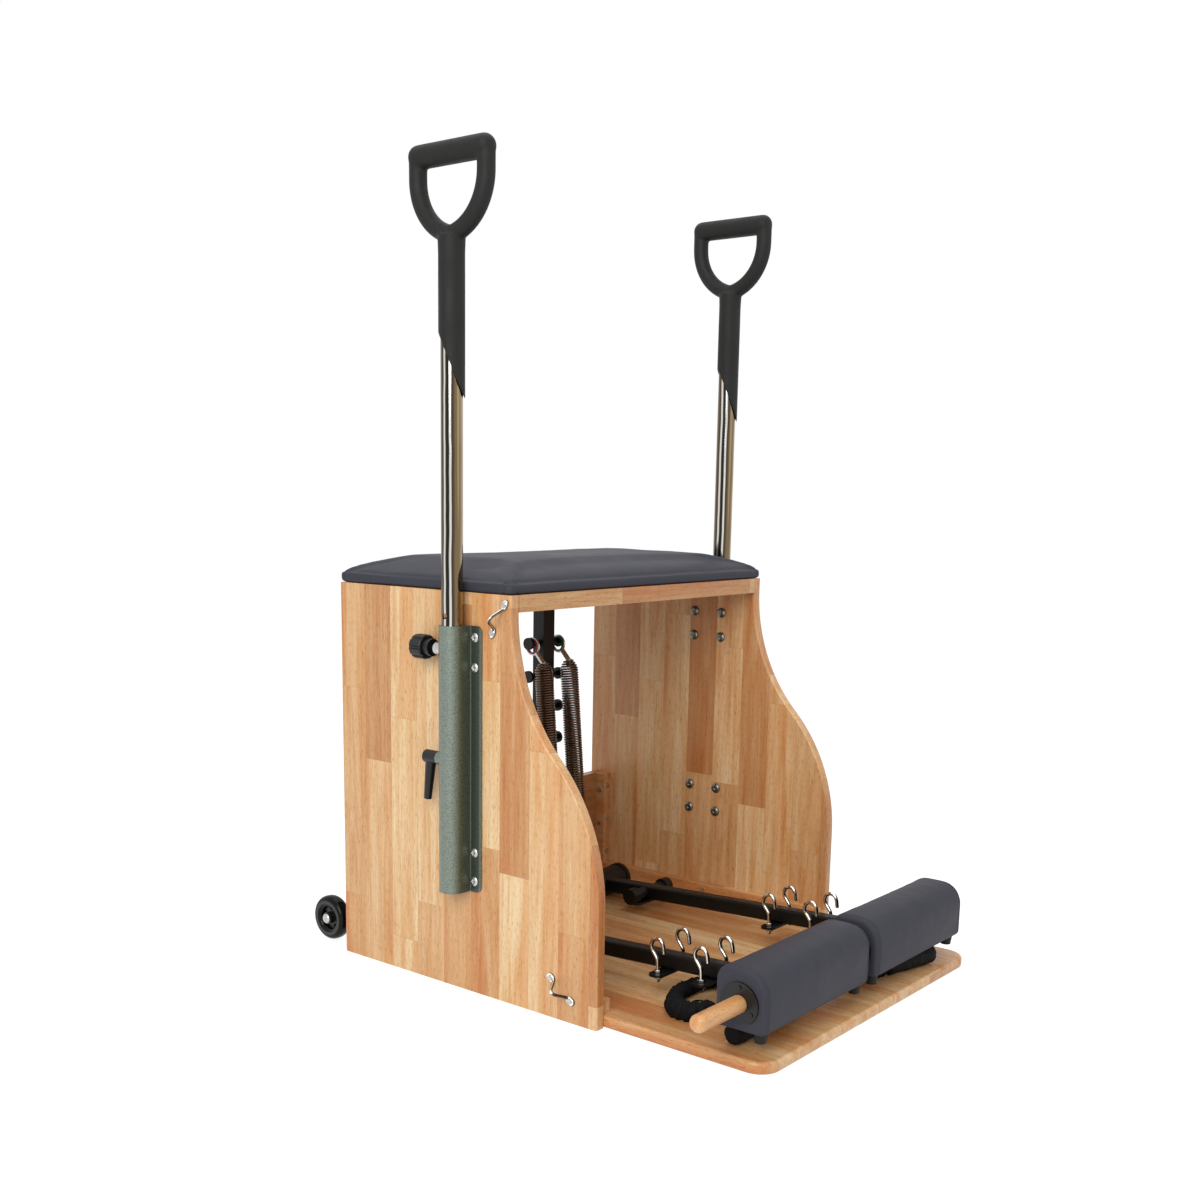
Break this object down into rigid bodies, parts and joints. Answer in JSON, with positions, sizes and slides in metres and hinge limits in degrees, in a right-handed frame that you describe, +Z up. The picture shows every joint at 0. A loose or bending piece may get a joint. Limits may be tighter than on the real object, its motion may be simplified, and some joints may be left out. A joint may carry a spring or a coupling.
{
  "type": "pilates chair",
  "caption": "Wooden pilates chair with padded seat, split foot pedals on an axle, parked coil springs, height-adjustable side poles with D-grips and a locking dowel",
  "frame": {"origin": "on the floor, midway between the side panels and at half the length of the base board", "axes": "+Z up, -Y to the front where the pedals are, +X to the left of a sitter who faces the front; pieces named left_ are on the -X side, at the left as seen from in front"},
  "size_m": [0.77, 0.9055, 1.2315],
  "materials": {
    "panel_wood": "satin lacquer over finger-jointed rubberwood",
    "cleat_wood": "planed and lacquered",
    "core_wood": "raw plywood",
    "leather": "slate grey artificial leather with a fine grain",
    "black_steel": "satin black powder coat",
    "spring_steel": "oiled dark spring wire",
    "bright_steel": "zinc plated",
    "red_plastic": "moulded",
    "green_plastic": "moulded",
    "hammered_paint": "grey-green hammered paint",
    "black_plastic": "moulded",
    "pole_chrome": "dark polished chrome",
    "grip_rubber": "soft black rubber",
    "chrome": "polished",
    "wheel_rubber": "tread",
    "wheel_plastic": "moulded",
    "bush_bronze": "sintered",
    "dowel_wood": "lacquered",
    "cord_fabric": "scrunched woven sleeve",
    "handle_foam": "closed-cell foam",
    "hook_plastic": "moulded"
  },
  "bodies": {
    "frame": {"axle_end_caps": "black_steel", "axle_shaft": "bright_steel", "axle_spacers": "black_steel", "base_board": "panel_wood", "bracket_bolts": "bright_steel", "bracket_nuts": "bright_steel", "cleats": "cleat_wood", "cord_handles": "handle_foam", "cord_hooks": "hook_plastic", "cushion_board": "core_wood", "green_liners": "green_plastic", "left_cord": "cord_fabric", "left_side_panel": "panel_wood", "left_sleeve_bracket": "hammered_paint", "left_springs": "spring_steel", "pad_eyes": "chrome", "pillow_blocks": "black_steel", "plunger_bodies": "bright_steel", "post_pegs": "black_steel", "rear_board": "panel_wood", "red_liners": "red_plastic", "right_cord": "cord_fabric", "right_side_panel": "panel_wood", "right_sleeve_bracket": "hammered_paint", "right_springs": "spring_steel", "seat_board": "panel_wood", "seat_cushion": "leather", "spring_eyes": "bright_steel", "spring_keepers": "black_steel", "spring_posts": "black_steel", "wheel_axles": "bright_steel", "wheel_brackets": "black_steel", "wood_screws": "bright_steel"},
    "lock_dowel": {"lock_dowel": "dowel_wood"},
    "left_pedal": {"left_pedal_arm": "black_steel", "left_hub_bush": "bush_bronze", "left_pedal_core": "core_wood", "left_pedal_pad": "leather", "left_bumpers": "grip_rubber", "left_hook_bolts": "chrome", "left_pedal_bushings": "black_plastic"},
    "left_handle_pole": {"left_pole": "pole_chrome", "left_grip": "grip_rubber"},
    "left_pin": {"left_plunger": "black_plastic"},
    "left_lever": {"left_clamp_lever": "black_plastic"},
    "left_wheel": {"left_wheel_tyre": "wheel_rubber", "left_wheel_hub": "wheel_plastic"},
    "right_pedal": {"right_pedal_arm": "black_steel", "right_hub_bush": "bush_bronze", "right_pedal_core": "core_wood", "right_pedal_pad": "leather", "right_bumpers": "grip_rubber", "right_hook_bolts": "chrome", "right_pedal_bushings": "black_plastic"},
    "right_handle_pole": {"right_pole": "pole_chrome", "right_grip": "grip_rubber"},
    "right_pin": {"right_plunger": "black_plastic"},
    "right_lever": {"right_clamp_lever": "black_plastic"},
    "right_wheel": {"right_wheel_tyre": "wheel_rubber", "right_wheel_hub": "wheel_plastic"}
  },
  "joints": [
    {"name": "left_pedal_hinge", "type": "hinge", "parent": "frame", "child": "left_pedal", "pos_m": [-0.155, 0.25, 0.045], "axis": [-1, 0, 0], "range_deg": [0, 40]},
    {"name": "right_pedal_hinge", "type": "hinge", "parent": "frame", "child": "right_pedal", "pos_m": [0.155, 0.25, 0.045], "axis": [-1, 0, 0], "range_deg": [0, 40]},
    {"name": "dowel_slide", "type": "slide", "parent": "left_pedal", "child": "lock_dowel", "axis": [1, 0, 0], "range_m": [-0.2, 0.075]},
    {"name": "left_pole_slide", "type": "slide", "parent": "frame", "child": "left_handle_pole", "axis": [0, 0, 1], "range_m": [-0.05, 0.2]},
    {"name": "left_pin_slide", "type": "slide", "parent": "frame", "child": "left_pin", "axis": [0, -1, 0], "range_m": [0, 0.007]},
    {"name": "left_lever_hinge", "type": "hinge", "parent": "frame", "child": "left_lever", "pos_m": [-0.34798, 0.136, 0.361], "axis": [0, 1, 0], "range_deg": [0, 100]},
    {"name": "left_wheel_spin", "type": "hinge", "parent": "frame", "child": "left_wheel", "pos_m": [-0.306, 0.463, 0.041], "axis": [1, 0, 0], "continuous": true},
    {"name": "right_pole_slide", "type": "slide", "parent": "frame", "child": "right_handle_pole", "axis": [0, 0, 1], "range_m": [-0.05, 0.2]},
    {"name": "right_pin_slide", "type": "slide", "parent": "frame", "child": "right_pin", "axis": [0, -1, 0], "range_m": [0, 0.007]},
    {"name": "right_lever_hinge", "type": "hinge", "parent": "frame", "child": "right_lever", "pos_m": [0.34798, 0.136, 0.361], "axis": [0, -1, 0], "range_deg": [0, 100]},
    {"name": "right_wheel_spin", "type": "hinge", "parent": "frame", "child": "right_wheel", "pos_m": [0.306, 0.463, 0.041], "axis": [1, 0, 0], "continuous": true}
  ]
}
